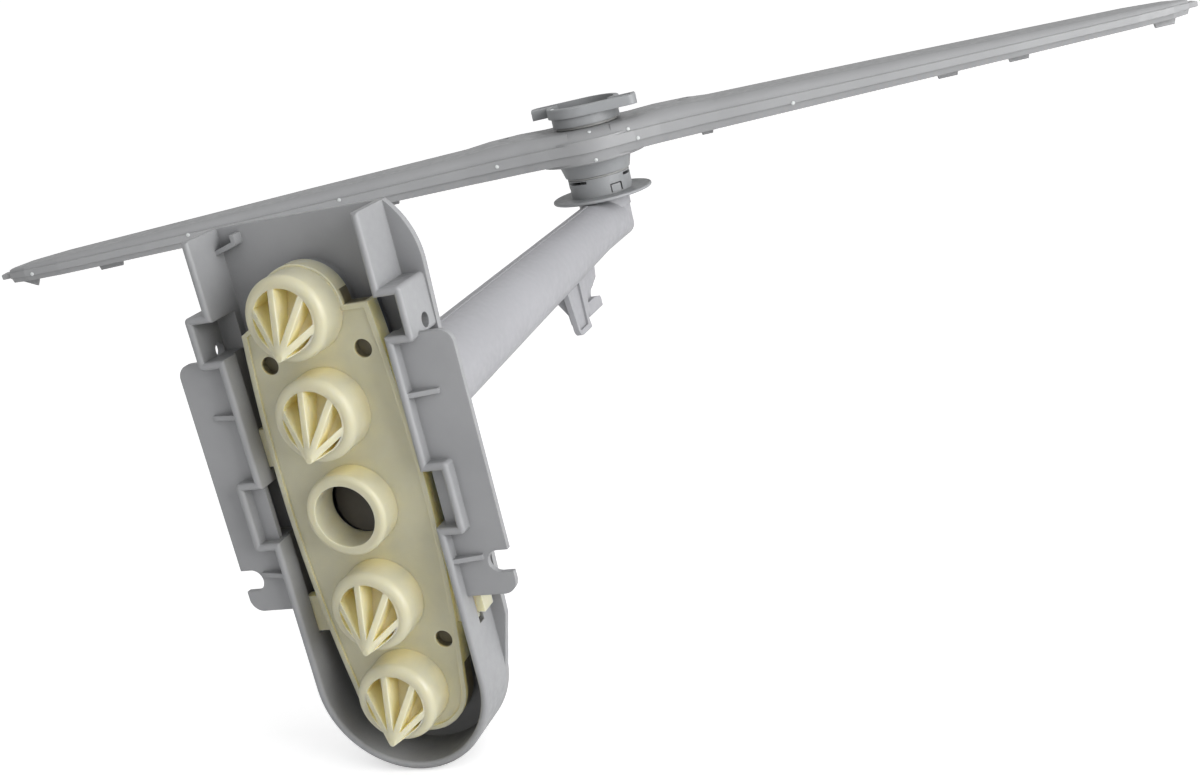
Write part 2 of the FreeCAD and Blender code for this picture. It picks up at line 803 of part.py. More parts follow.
def bearing_collar():
    """Splash disc with the snap collar that holds the spindle."""
    disc = rod(disc_r, disc_t, V(0, 0, disc_z))
    wall = rod(collar_r, collar_top_z - disc_z, V(0, 0, disc_z))
    rims = [e for e in disc.Edges if e.BoundBox.ZLength < near]
    body = joined([disc.makeFillet(disc_edge_r, rims), wall])
    bore = rod(collar_bore_r, collar_top_z, V(0, 0, collar_floor_z))
    hole = rod(spindle_r + spindle_gap, disc_t + 2 * past, V(0, 0, disc_z - past))
    body = body.cut([bore, hole])
    cuts = []
    slot_z = collar_top_z - snap_slot_drop - snap_slot_h
    pane_z = collar_floor_z + snap_window_rise
    half = snap_window_w / 2
    for i in range(snap_count):
        turn = i * 360.0 / snap_count
        cuts.append(sector(collar_r + past, snap_slot_angle / 2, slot_z, slot_z + snap_slot_h,
                           snap_slot_turn + turn))
        pane = box(collar_bore_r - past, collar_r + past, -half, half, pane_z, pane_z + snap_window_h)
        tab = box(collar_bore_r - 2 * past, collar_r - snap_tab_in, snap_tab_gap - half,
                  half - snap_tab_gap, collar_floor_z, collar_floor_z + snap_window_h)
        cut = pane.cut(tab)
        cut.rotate(V(0, 0, 0), Z_AXIS, snap_window_turn + turn)
        cuts.append(cut)
    return at_hub(body.cut(cuts))


def hub_spindle():
    """Hollow post that feeds the arm and carries the lock nut's lugs."""
    head_z = nut_floor_z + nut_floor_t + nut_lift
    top_z = head_z + lug_h
    post = rod(spindle_r, top_z - spindle_foot_z, V(0, 0, spindle_foot_z))
    flange = rod(spindle_flange_r, spindle_flange_t, V(0, 0, collar_floor_z))
    lugs = [sector(lug_r, lug_half_angle, head_z, top_z, arm_yaw + turn) for turn in (0.0, 180.0)]
    bore = rod(spindle_bore_r, nut_floor_z - spindle_foot_z, V(0, 0, spindle_foot_z))
    windows = []
    for angle in (45.0, 135.0):
        gap = box(-spindle_r - past, spindle_r + past, -water_window_w / 2, water_window_w / 2,
                  window_low_z, window_low_z + water_window_h)
        gap.rotate(V(0, 0, 0), Z_AXIS, angle)
        windows.append(gap)
    return at_hub(joined([post, flange] + lugs).cut([bore] + windows))


def thrust_washer(z, thickness):
    """Flat running washer round the spindle."""
    return at_hub(ring(cone_foot_r - washer_in, spindle_r + 2 * spindle_gap, thickness, V(0, 0, z)))


# Spray arm, drawn along X about its own hub and then turned into place
def blade_pair(section, inset):
    """Lofts a section along one blade and repeats it, turned half round."""
    sections = [section(min(s, blade_end - inset), w - inset, heights) for s, w, heights in arm_stations]
    blade = Part.makeLoft(sections, True, True)
    other = blade.copy()
    other.rotate(V(0, 0, 0), Z_AXIS, 180)
    return [blade, other]


def upper_solid(inset, low):
    """Domed upper body of the arm, drawn in by a wall and reaching down to a height."""
    (wide, half_up), (flat, near_top) = crown_shares

    def section(s, w, heights):
        side = heights[ledge_column] - inset / 2
        rise = heights[crown_column] - inset - side
        edge = w - shoulder
        steep = (wide * edge, side + half_up * rise)
        brow = (flat * edge, side + near_top * rise)
        steps = [(-w, side), (-edge, side), ((-steep[0], steep[1]), (-brow[0], brow[1])),
                 ((0, side + rise), brow), (steep, (edge, side)), (w, side), (w, low)]
        return outline((-w, low), steps, lambda t, z: V(s, t, z))
    side = hub_ledge_z - inset / 2
    r = hub_boss_r - inset
    top = hub_top_z - inset
    edge = hub_dome_r - inset
    foot = r - shoulder
    bulge = ((edge + foot + hub_dome_bulge) / 2, (side + top) / 2 + hub_dome_bulge)
    dome = turned((0, low), [(r, low), (r, side), (foot, side), (bulge, (edge, top)), (0, top)])
    return joined(blade_pair(section, inset) + [dome])


def arm_tip_tab(sign):
    """Short tab at a blade's end."""
    x0 = blade_end - tip_tab_root
    tab = box(x0, arm_half_len, -tip_tab_w / 2, tip_tab_w / 2, arm_seam_z, tip_tab_z)
    ends = [e for e in tab.Edges if e.BoundBox.XMin > arm_half_len - near]
    tab = tab.makeFillet(tip_tab_round, ends)
    if sign < 0:
        tab.rotate(V(0, 0, 0), Z_AXIS, 180)
    return tab


def height_at(s, column):
    """Height of the blade's crown or floor at a place along the arm."""
    reach = max(abs(s), blade_roots[0])
    low, high = [(a, b) for a, b in zip(arm_stations, arm_stations[1:]) if a[0] <= reach <= b[0]][0]
    rise = high[2][column] - low[2][column]
    return low[2][column] + rise * (reach - low[0]) / (high[0] - low[0])


def arm_top_shell():
    """Upper moulding of the arm: domed blades, hub boss and two raised jets."""
    bosses = []
    holes = []
    for s in top_jets:
        crown = height_at(s, crown_column)
        foot = crown - jet_boss_h
        bosses.append(Part.makeCone(jet_boss_r, jet_r + jet_boss_top, 2 * jet_boss_h, V(s, 0, foot)))
        holes.append(rod(jet_r, 3 * shell_t + jet_boss_h, V(s, 0, crown - 2 * shell_t)))
    tabs = [arm_tip_tab(1), arm_tip_tab(-1)]
    solid = joined([upper_solid(0.0, arm_seam_z)] + tabs + bosses)
    inner = upper_solid(shell_t, arm_seam_z - past)
    hub_hole = rod(bush_r, 3 * shell_t, V(0, 0, roof_z - shell_t))
    return at_hub(solid.cut([inner, hub_hole] + holes), arm_yaw)


def lower_solid(inset, z_high):
    """Flat lower body of the arm with the belly round the hub, drawn in by a wall."""
    def section(s, w, heights):
        z_low = heights[floor_column] + inset
        wide = w - lower_inset
        narrow = w - floor_inset
        steps = [(narrow, z_low), (wide, z_high), (-wide, z_high)]
        return outline((-narrow, z_low), steps, lambda t, z: V(s, t, z))
    r = hub_boss_r - lower_inset - inset
    foot = belly_r - inset
    low = belly_z + inset
    e = belly_round
    k = inset_of(e)
    rounded = [(foot - e, low), ((foot - k, low + k), (foot, low + e))]
    belly = turned((0, low), rounded + [(r, z_high), (0, z_high)])
    return joined(blade_pair(section, inset) + [belly])


def weld_rib():
    """Upright rib along the lower shell's edge that centres the upper shell."""
    z0 = arm_seam_z - weld_rib_root
    z1 = arm_seam_z + weld_rib_h
    layers = []
    for inset in (shell_t + weld_gap, shell_t + weld_gap + weld_rib_t):
        def section(s, w, heights):
            return outline((-w, z0), [(w, z0), (w, z1), (-w, z1)], lambda t, z: V(s, t, z))
        core = rod(hub_boss_r - inset, z1 - z0, V(0, 0, z0))
        layers.append(joined(blade_pair(section, inset) + [core]))
    return layers[0].cut(layers[1])


def deflector(s, length):
    """Small flat tab under the floor, beside a jet."""
    half = length / 2
    floor = height_at(s, floor_column)
    top = floor + shell_t / 2
    low = floor - deflector_drop
    wide = half + deflector_slope
    points = [V(s - wide, 0, top), V(s + wide, 0, top), V(s + half, 0, low), V(s - half, 0, low)]
    face = Part.Face(Part.makePolygon(points + points[:1]))
    return face.extrude(V(0, -deflector_t, 0))


def tip_fin():
    """Triangular fin under the left tip."""
    half = tip_fin_len / 2
    s = tip_fin_back - arm_half_len
    floor = height_at(s, floor_column)
    top = floor + shell_t / 2
    low = floor - tip_fin_drop
    points = [V(s - half, 0, top), V(s + half, 0, top), V(s + half - tip_fin_slope, 0, low)]
    face = Part.Face(Part.makePolygon(points + points[:1]))
    return face.extrude(V(0, -deflector_t, 0))


def arm_bottom_shell():
    """Lower moulding of the arm: flat floor, hub belly, weld rib, jets and deflectors."""
    outer = lower_solid(0.0, arm_seam_z)
    tabs = [tip_fin()]
    holes = []
    for s, length in under_jets:
        tabs.append(deflector(s, length))
        foot = height_at(s, floor_column) - past
        holes.append(rod(jet_r, shell_t + 2 * past, V(s, under_jet_t, foot)))
    inner = lower_solid(shell_t, arm_seam_z + past)
    hub_hole = rod(sleeve_r + sleeve_fit, arm_seam_z - belly_z, V(0, 0, belly_z - past))
    body = joined([outer] + tabs).cut(inner)
    body = joined([body, weld_rib()])
    return at_hub(body.cut([hub_hole] + holes), arm_yaw)


def arm_hub():
    """Sleeve through the arm with the cone that shows below it."""
    cone = Part.makeCone(cone_foot_r, cone_top_r, belly_z - cone_foot_z, V(0, 0, cone_foot_z))
    sleeve = rod(sleeve_r, roof_z - cone_foot_z, V(0, 0, cone_foot_z))
    body = joined([cone, sleeve])
    low_seat = rod(bush_r, bush_len, V(0, 0, cone_foot_z))
    gallery = rod(gallery_r, roof_z - cone_foot_z, V(0, 0, cone_foot_z))
    top_seat = rod(bush_r, upper_bush_len, V(0, 0, hub_top_z - upper_bush_len))
    windows = []
    for angle in (0.0, 90.0):
        gap = box(-sleeve_r - past, sleeve_r + past, -hub_window_half, hub_window_half,
                  window_low_z, window_low_z + hub_window_h)
        gap.rotate(V(0, 0, 0), Z_AXIS, angle)
        windows.append(gap)
    return at_hub(body.cut([low_seat, gallery, top_seat] + windows), arm_yaw)


def bush(z, length):
    """Plain bearing bush that runs on the spindle."""
    return at_hub(ring(bush_r, spindle_r + run_gap, length, V(0, 0, z)))


# Lock nut
def nut_plan(shrink, z0, z1):
    """Round body with two straight wings that leave it on opposite sides."""
    r = nut_r + nut_lip - shrink
    reach = nut_reach - shrink
    wide = r
    narrow = wide - nut_wing_w + 2 * shrink
    e = nut_wing_round - shrink
    k = inset_of(e)
    steps = [(reach - e, -wide), ((reach - k, k - wide), (reach, e - wide)),
             (reach, -narrow), (0, -narrow)]
    right = slab_z((0, -wide), steps + [(0, -wide)], z0, z1)
    left = right.copy()
    left.rotate(V(0, 0, 0), Z_AXIS, 180)
    return joined([rod(r, z1 - z0, V(0, 0, z0)), right, left])


def lock_nut():
    """Winged nut: skirt over the washer, floor with a keyed bore, open cup on top."""
    cup_z = nut_floor_z + nut_floor_t
    barrel = rod(nut_r, cup_z - nut_foot_z, V(0, 0, nut_foot_z))
    wings = nut_plan(0.0, cup_z, nut_top_z)
    top = [e for e in wings.Edges if e.BoundBox.ZMin > nut_top_z - near]
    wings = wings.makeFillet(nut_edge_r, top)
    cup = nut_plan(nut_wall, cup_z, nut_top_z + past)
    under = rod(nut_r - nut_skirt_wall, nut_floor_z - nut_foot_z, V(0, 0, nut_foot_z))
    bore = rod(spindle_r + nut_bore_gap, nut_floor_t + 2 * past, V(0, 0, nut_floor_z - past))
    keys = [sector(lug_r + nut_bore_gap, lug_half_angle + slot_gap_angle / 2, nut_floor_z - past,
                   cup_z + past, angle) for angle in (90.0, 270.0)]
    return at_hub(joined([barrel, wings]).cut([cup, under, bore] + keys), arm_yaw)


def main():
    os.makedirs("parts", exist_ok=True)
    left_tube, right_tube = feed_tube_halves()
    nodes = {
        "docking_carrier": docking_carrier(),
        "port_cover": port_cover(),
        "chamber_gasket": chamber_gasket(),
        "check_flap": check_flap(port_zs[upper_port_count], ajar_angle),
        "feed_tube_left": left_tube,
        "feed_tube_right": right_tube,
        "tube_seal": tube_seal(),
        "bearing_collar": bearing_collar(),
        "hub_spindle": hub_spindle(),
        "lower_thrust_washer": thrust_washer(washer_low_z, washer_t),
        "upper_thrust_washer": thrust_washer(upper_washer_z, upper_washer_t),
        "arm_hub": arm_hub(),
        "lower_bush": bush(cone_foot_z + run_gap, bush_len - 2 * run_gap),
        "upper_bush": bush(hub_top_z - upper_bush_len, upper_bush_len - run_gap),
        "arm_bottom_shell": arm_bottom_shell(),
        "arm_top_shell": arm_top_shell(),
        "lock_nut": lock_nut(),
    }
    for name, shape in nodes.items():
        if shape.isNull() or not shape.isValid():
            raise RuntimeError(name + " did not come out as a valid solid")
        shape.exportStep("parts/" + name + ".step")
        print(name, "solids", len(shape.Solids), "volume", round(shape.Volume))


main()
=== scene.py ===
import math

import bmesh
import bpy
from bpy.props import FloatProperty, FloatVectorProperty, PointerProperty
from mathutils import Euler, Matrix, Vector
from mathutils.bvhtree import BVHTree


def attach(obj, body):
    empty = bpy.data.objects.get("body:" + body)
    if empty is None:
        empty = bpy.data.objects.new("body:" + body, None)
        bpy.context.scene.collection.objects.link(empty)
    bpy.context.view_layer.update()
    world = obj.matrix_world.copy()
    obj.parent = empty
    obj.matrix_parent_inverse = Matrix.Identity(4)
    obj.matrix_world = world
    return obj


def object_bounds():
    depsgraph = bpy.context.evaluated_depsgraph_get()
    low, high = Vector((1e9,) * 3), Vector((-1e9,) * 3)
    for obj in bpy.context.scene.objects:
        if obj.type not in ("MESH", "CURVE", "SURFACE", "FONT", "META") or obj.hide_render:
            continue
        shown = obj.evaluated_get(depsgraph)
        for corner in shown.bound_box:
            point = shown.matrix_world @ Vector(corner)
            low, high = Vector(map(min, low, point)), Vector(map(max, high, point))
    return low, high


bl_info = {
    "name": "Spray arm",
    "version": (1, 0, 0),
    "blender": (4, 5, 0),
    "location": "3D View > Sidebar > Spray arm",
    "description": "Finishes and weld pips of a dishwasher's upper spray arm with its feed tube",
    "category": "Object",
}

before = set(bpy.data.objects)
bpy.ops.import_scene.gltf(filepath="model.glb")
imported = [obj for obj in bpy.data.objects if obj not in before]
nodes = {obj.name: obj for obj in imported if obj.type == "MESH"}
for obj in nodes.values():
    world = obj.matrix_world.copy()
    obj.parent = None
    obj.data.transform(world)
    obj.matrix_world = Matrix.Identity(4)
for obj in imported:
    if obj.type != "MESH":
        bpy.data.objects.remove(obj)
cad_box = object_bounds()

# The photograph's frame in pixels, and the camera that was fitted to it
PHOTO_SIZE = (1200, 776)
CAMERA_PLACE = (0.19640, -0.30769, 0.12031)
CAMERA_TURN = (1.283909, 0.221085, 0.313649)
CAMERA_LENS = 45.747
CAMERA_SENSOR = 36.0
CAMERA_CLIP = (0.01, 50.0)

# Where the lamps stand and which way they shine
SIDE_LAMP_PLACE = (1.0, -0.25, 0.20)
SIDE_LAMP_AIM = (0.0, 0.05, 0.0)
EVEN_LAMP_AIM = (-0.55, 0.6, -0.75)

# How finely the floor is drawn, up its curve and round it, and the gap that its seam closes
FLOOR_CURVE_STEPS = 12
FLOOR_ROUND_STEPS = 96
FLOOR_SEAM_GAP = 0.0001

# How finely a pip is drawn, round it and over it
PIP_SEGMENTS = 16
PIP_RINGS = 10

# Small weld pips, painted pale as glints of light, by their places in the photograph
ARM_PIPS = ((32, 274), (188, 235), (339, 200), (497, 167), (589, 132), (596, 160), (628, 129), (638, 138),
            (793, 103))
NUT_PIPS = ((552, 110),)

# Which CAD node wears which finish
FINISHES = {
    "docking_carrier": "housing",
    "port_cover": "cover",
    "chamber_gasket": "rubber",
    "tube_seal": "rubber",
    "feed_tube_left": "tube",
    "feed_tube_right": "tube",
    "bearing_collar": "hub",
    "arm_hub": "hub",
    "lock_nut": "hub",
    "hub_spindle": "bearing",
    "lower_thrust_washer": "bearing",
    "upper_thrust_washer": "bearing",
    "lower_bush": "bearing",
    "upper_bush": "bearing",
    "arm_bottom_shell": "arm",
    "arm_top_shell": "arm",
    "check_flap": "flap",
}


def colour_prop(name, description, default):
    """A colour that the user picks in the sidebar."""
    return FloatVectorProperty(name=name, description=description, default=default, size=3,
                               min=0.0, max=1.0, subtype="COLOR")


def share_prop(name, description, default):
    """A strength between 0 and 1."""
    return FloatProperty(name=name, description=description, default=default, min=0.0, max=1.0,
                         subtype="FACTOR")


def length_prop(name, description, default):
    """A size on the object, in metres."""
    return FloatProperty(name=name, description=description, default=default, min=0.0,
                         subtype="DISTANCE", unit="LENGTH", precision=5)


class SPRAYARM_PG_plastic(bpy.types.PropertyGroup):
    """Look of one moulded plastic."""
    colour: colour_prop("Colour", "Colour of the clean plastic", (0.30, 0.302, 0.306))
    cloud: colour_prop("Cloud", "Colour of the darker patches in the plastic", (0.27, 0.272, 0.276))
    # Painted corner tone, with its share, start and full below: painted shade in corners and recesses, and
    # a painted glow on the cream cover
    grime: colour_prop("Grime", "Tone that gathers in corners and recesses", (0.075, 0.075, 0.072))
    # Lighter edge tone and its share further down: partly wear, partly painted highlight along the softened
    # edges
    worn: colour_prop("Worn edge", "Tone of rubbed edges", (0.42, 0.42, 0.42))
    grime_share: share_prop("Grime share", "How far the corners turn to the grime's tone", 0.35)
    grime_start: share_prop("Grime start", "Openness of a corner where the grime begins", 0.85)
    grime_full: share_prop("Grime full", "Openness of a corner where the grime is full", 0.25)
    wear_and_highlight_share: share_prop("Wear share", "How much the edges lighten", 0.35)
    rough: share_prop("Roughness", "Mean roughness of the surface", 0.42)
    sheen_range: share_prop("Roughness range", "How far the roughness wanders", 0.10)
    cloud_size: length_prop("Cloud size", "Size of the patches of tone", 0.030)
    grain_size: length_prop("Grain size", "Size of the mould's fine grain", 0.0006)
    grain_depth: length_prop("Grain depth", "Height of the mould's fine grain", 0.00002)
    edge_radius: length_prop("Edge radius", "How wide a moulded edge turns", 0.0004)
    # Painted shade in the cover's small holes: its tone, share and the distances that bound it
    hole_shade: colour_prop("Deep tone", "Tone of the small holes behind the face", (0.085, 0.070, 0.040))
    hole_shade_share: share_prop("Deep share", "How far the small holes turn to the deep tone", 0.0)
    deep_start: length_prop("Deep start", "Distance behind the mouth where the deep tone begins", 0.0078)
    deep_full: length_prop("Deep full", "Distance behind the mouth where the deep tone is full", 0.0086)
    deep_inner: length_prop("Deep inner edge", "Distance to the side where the deep tone begins", 0.01095)
    deep_outer: length_prop("Deep outer edge", "Distance to the side where the deep tone ends", 0.0170)
    glow: share_prop("Glow", "Share of the light that wanders inside the plastic", 0.0)
    glow_reach: length_prop("Glow reach", "How far the light wanders inside the plastic", 0.002)


class SPRAYARM_PG_pips(bpy.types.PropertyGroup):
    """Small weld pips on the arm and the nut, whose pale tone is a painted highlight."""
    radius: length_prop("Pip radius", "Radius of a pip", 0.00075)
    rise: length_prop("Pip rise", "How far a pip stands out of its carrier", 0.00035)


class SPRAYARM_PG_stage(bpy.types.PropertyGroup):
    """Floor, surrounding light and lamps."""
    floor_gap: length_prop("Floor gap", "Space between the object and the floor", 0.0005)
    floor_colour: colour_prop("Floor colour", "Tone of the plain floor", (0.90, 0.90, 0.90))
    world_power: FloatProperty(name="Surrounding light", description="Strength of the light from all round",
                               default=0.60, min=0.0)
    sun_power: FloatProperty(name="Even lamp", description="Strength of the broad even lamp",
                             default=0.22, min=0.0)
    sun_angle: FloatProperty(name="Even lamp width", description="Angle that the even lamp fills",
                             default=math.radians(50.0), min=0.0, subtype="ANGLE", unit="ROTATION")
    side_power: FloatProperty(name="Side lamp", description="Power of the soft lamp at the right",
                              default=13.0, min=0.0, subtype="POWER")
    side_size: length_prop("Side lamp size", "Width of the soft lamp at the right", 0.8)
    floor_glow: share_prop("Floor lift", "How far the floor is lifted towards white", 0.5)
    floor_flat: length_prop("Floor flat", "Radius of the flat floor", 5.0)
    floor_curve: length_prop("Floor curve", "Radius of the curve that ends the floor", 4.0)
    floor_turn: FloatProperty(name="Floor turn", description="How far the floor's curve climbs",
                              default=math.radians(75.0), min=0.0, subtype="ANGLE", unit="ROTATION")


class SPRAYARM_PG_settings(bpy.types.PropertyGroup):
    """Everything that the sidebar offers."""
    housing: PointerProperty(name="Housing", description="Grey plastic of the docking carrier",
                             type=SPRAYARM_PG_plastic)
    tube: PointerProperty(name="Tube", description="Grey plastic of the feed tube",
                          type=SPRAYARM_PG_plastic)
    arm: PointerProperty(name="Arm", description="Grey plastic of the arm", type=SPRAYARM_PG_plastic)
    hub: PointerProperty(name="Hub", description="Grey plastic of the hub and nut",
                         type=SPRAYARM_PG_plastic)
    cover: PointerProperty(name="Cover", description="Cream plastic of the port cover",
                           type=SPRAYARM_PG_plastic)
    flap: PointerProperty(name="Flap", description="Dark plastic of the check flap",
                          type=SPRAYARM_PG_plastic)
    bearing: PointerProperty(name="Bearing", description="Pale bearing plastic",
                             type=SPRAYARM_PG_plastic)
    rubber: PointerProperty(name="Rubber", description="Rubber of gasket and seal",
                            type=SPRAYARM_PG_plastic)
    # The pips' pale tone is a painted highlight standing in for glints
    pip: PointerProperty(name="Pip", description="Pale plastic of the weld pips",
                         type=SPRAYARM_PG_plastic)
    pips: PointerProperty(name="Pips", description="Size of the weld pips", type=SPRAYARM_PG_pips)
    stage: PointerProperty(name="Stage", description="Floor, lamps and camera", type=SPRAYARM_PG_stage)


# How far red, green and blue light wander in the cream plastic, beside each other
GLOW_SPREAD = (1.0, 0.9, 0.6)

# Noise values between which the cloud's tone and the sheen run from one end to the other
CLOUD_SPAN = (0.38, 0.62)
SHEEN_SPAN = (0.3, 0.7)

# Sockets of a Mix node that mixes colours
MIX_SHARE = 0
MIX_FIRST = 6
MIX_SECOND = 7
MIX_RESULT = 2

# How far the painted corner shade reaches, and the turn of the softened edge where the wear and painted
# edge highlight begin and are full
CORNER_REACH = 0.014
WEAR_AND_HIGHLIGHT_START = 0.99
WEAR_AND_HIGHLIGHT_FULL = 0.86

# Grains across one patch of wear and painted edge highlight, and the rays that look for corners and edges
GRAINS_IN_PATCH = 4.0
CORNER_RAYS = 4

# Patches of the floor's mottle in one metre, and how bright the darker ones are
FLOOR_MOTTLE = 3.0
FLOOR_SHADE = 0.99

# How each finish departs from the plain grey defaults
LOOKS = {
    # Each dark corner tone below is painted shade in corners and recesses
    "housing": {"colour": (0.298, 0.301, 0.309), "cloud": (0.272, 0.275, 0.283),
                "grime": (0.05, 0.05, 0.05), "grime_share": 0.65, "grime_start": 0.6, "grime_full": 0.12},
    "tube": {"colour": (0.355, 0.356, 0.376), "cloud": (0.335, 0.336, 0.354), "cloud_size": 0.06,
             "grain_depth": 0.00001},
    "arm": {"colour": (0.305, 0.308, 0.314), "cloud": (0.285, 0.288, 0.294), "cloud_size": 0.05},
    "hub": {"colour": (0.30, 0.308, 0.317), "cloud": (0.275, 0.283, 0.292), "cloud_size": 0.02},
    # The cover's bright ochre corner tone is a painted glow in its flutes and bores
    "cover": {"colour": (0.54, 0.52, 0.385), "cloud": (0.505, 0.485, 0.355), "grime": (1.0, 0.87, 0.47),
              "worn": (0.70, 0.68, 0.55), "grime_share": 0.9, "grime_start": 0.5, "grime_full": 0.15,
              "cloud_size": 0.02, "rough": 0.38, "glow": 0.85, "glow_reach": 0.004, "hole_shade_share": 0.9},
    "flap": {"colour": (0.09, 0.08, 0.07), "cloud": (0.07, 0.062, 0.055), "grime": (0.02, 0.02, 0.02),
             "worn": (0.14, 0.13, 0.12), "cloud_size": 0.008},
    "bearing": {"colour": (0.40, 0.40, 0.39), "cloud": (0.37, 0.37, 0.36), "cloud_size": 0.01},
    "rubber": {"colour": (0.035, 0.035, 0.037), "cloud": (0.028, 0.028, 0.03), "grime": (0.01, 0.01, 0.01),
               "worn": (0.06, 0.06, 0.06), "rough": 0.7, "cloud_size": 0.01},
    # Pale tone of the pips: a painted highlight standing in for glints
    "pip": {"colour": (0.62, 0.64, 0.64), "cloud": (0.55, 0.57, 0.57), "worn": (0.7, 0.7, 0.7),
            "cloud_size": 0.001},
}


def add_node(tree, kind, **values):
    """One shader node; names with an underscore in front are its own fields, the rest its sockets."""
    made = tree.nodes.new(kind)
    for name, value in values.items():
        if name.startswith("_"):
            setattr(made, name[1:], value)
        else:
            made.inputs[name.replace("_", " ")].default_value = value
    return made


def opaque(colour):
    """A colour with full alpha."""
    return (colour[0], colour[1], colour[2], 1.0)


def paint_hole_shade(tree, place, colour, look):
    """Paints shade into the small holes behind the cover's face, between two distances from its middle."""
    link = tree.links.new
    parts = add_node(tree, "ShaderNodeSeparateXYZ")
    link(place, parts.inputs[0])
    depth = add_node(tree, "ShaderNodeMapRange", From_Min=look.deep_start, From_Max=look.deep_full,
                     To_Max=look.hole_shade_share)
    link(parts.outputs["Y"], depth.inputs["Value"])
    side = add_node(tree, "ShaderNodeMath", _operation="ABSOLUTE")
    link(parts.outputs["X"], side.inputs[0])
    within = add_node(tree, "ShaderNodeMath", _operation="COMPARE")
    within.inputs[1].default_value = (look.deep_inner + look.deep_outer) / 2
    within.inputs[2].default_value = (look.deep_outer - look.deep_inner) / 2
    link(side.outputs["Value"], within.inputs[0])
    share = add_node(tree, "ShaderNodeMath", _operation="MULTIPLY")
    link(depth.outputs["Result"], share.inputs[0])
    link(within.outputs["Value"], share.inputs[1])
    tone = add_node(tree, "ShaderNodeMix", _data_type="RGBA")
    tone.inputs[MIX_SECOND].default_value = opaque(look.hole_shade)
    link(share.outputs["Value"], tone.inputs[MIX_SHARE])
    link(colour, tone.inputs[MIX_FIRST])
    return tone.outputs[MIX_RESULT]


def moulded_plastic(name, look):
    """Injection-moulded plastic: clouded tone, fine grain, edges lightened partly by wear and partly as
    painted highlight, and painted shade in recesses (a painted glow on the cream cover).
    """
    made = bpy.data.materials.new(name)
    made.use_nodes = True
    tree = made.node_tree
    tree.nodes.clear()
    link = tree.links.new
    out = add_node(tree, "ShaderNodeOutputMaterial")
    shader = add_node(tree, "ShaderNodeBsdfPrincipled", Subsurface_Weight=look.glow,
                      Subsurface_Radius=GLOW_SPREAD, Subsurface_Scale=look.glow_reach)
    link(shader.outputs["BSDF"], out.inputs["Surface"])
    place = add_node(tree, "ShaderNodeTexCoord").outputs["Object"]

    cloud = add_node(tree, "ShaderNodeTexNoise", Scale=1.0 / look.cloud_size, Detail=4.0, Roughness=0.6)
    link(place, cloud.inputs["Vector"])
    cloud_share = add_node(tree, "ShaderNodeMapRange", From_Min=CLOUD_SPAN[0], From_Max=CLOUD_SPAN[1])
    link(cloud.outputs["Fac"], cloud_share.inputs["Value"])
    base = add_node(tree, "ShaderNodeMix", _data_type="RGBA")
    base.inputs[MIX_FIRST].default_value = opaque(look.colour)
    base.inputs[MIX_SECOND].default_value = opaque(look.cloud)
    link(cloud_share.outputs["Result"], base.inputs[MIX_SHARE])

    # Painted shade: corners and recesses found by the corner rays turn towards the corner tone; on the
    # cream cover this is a painted glow
    shade = add_node(tree, "ShaderNodeAmbientOcclusion", _samples=CORNER_RAYS, Distance=CORNER_REACH)
    corner = add_node(tree, "ShaderNodeMapRange", From_Min=look.grime_start, From_Max=look.grime_full,
                      To_Max=look.grime_share)
    link(shade.outputs["AO"], corner.inputs["Value"])
    corner_painted = add_node(tree, "ShaderNodeMix", _data_type="RGBA")
    corner_painted.inputs[MIX_SECOND].default_value = opaque(look.grime)
    link(corner.outputs["Result"], corner_painted.inputs[MIX_SHARE])
    link(base.outputs[MIX_RESULT], corner_painted.inputs[MIX_FIRST])

    # Lighter edges: partly wear, partly painted highlight where the softened edge turns
    soft = add_node(tree, "ShaderNodeBevel", _samples=CORNER_RAYS, Radius=look.edge_radius)
    flat = add_node(tree, "ShaderNodeNewGeometry")
    turn = add_node(tree, "ShaderNodeVectorMath", _operation="DOT_PRODUCT")
    link(soft.outputs["Normal"], turn.inputs[0])
    link(flat.outputs["Normal"], turn.inputs[1])
    patchy = add_node(tree, "ShaderNodeTexNoise", Scale=1.0 / (GRAINS_IN_PATCH * look.grain_size),
                      Detail=2.0)
    link(place, patchy.inputs["Vector"])
    edge = add_node(tree, "ShaderNodeMapRange", From_Min=WEAR_AND_HIGHLIGHT_START, From_Max=WEAR_AND_HIGHLIGHT_FULL,
                    To_Max=look.wear_and_highlight_share)
    link(turn.outputs["Value"], edge.inputs["Value"])
    rubbed_and_highlit = add_node(tree, "ShaderNodeMath", _operation="MULTIPLY")
    link(edge.outputs["Result"], rubbed_and_highlit.inputs[0])
    link(patchy.outputs["Fac"], rubbed_and_highlit.inputs[1])
    worn = add_node(tree, "ShaderNodeMix", _data_type="RGBA")
    worn.inputs[MIX_SECOND].default_value = opaque(look.worn)
    link(rubbed_and_highlit.outputs["Value"], worn.inputs[MIX_SHARE])
    link(corner_painted.outputs[MIX_RESULT], worn.inputs[MIX_FIRST])
    tone = worn.outputs[MIX_RESULT]
    # Painted shade in the cover's small holes
    if look.hole_shade_share:
        tone = paint_hole_shade(tree, place, tone, look)
    link(tone, shader.inputs["Base Color"])

    sheen = add_node(tree, "ShaderNodeMapRange", From_Min=SHEEN_SPAN[0], From_Max=SHEEN_SPAN[1],
                     To_Min=look.rough - look.sheen_range, To_Max=look.rough + look.sheen_range)
    link(patchy.outputs["Fac"], sheen.inputs["Value"])
    link(sheen.outputs["Result"], shader.inputs["Roughness"])

    grain = add_node(tree, "ShaderNodeTexNoise", Scale=1.0 / look.grain_size, Detail=2.0, Roughness=0.5)
    link(place, grain.inputs["Vector"])
    bump = add_node(tree, "ShaderNodeBump", Distance=look.grain_depth)
    link(grain.outputs["Fac"], bump.inputs["Height"])
    link(soft.outputs["Normal"], bump.inputs["Normal"])
    link(bump.outputs["Normal"], shader.inputs["Normal"])
    return made


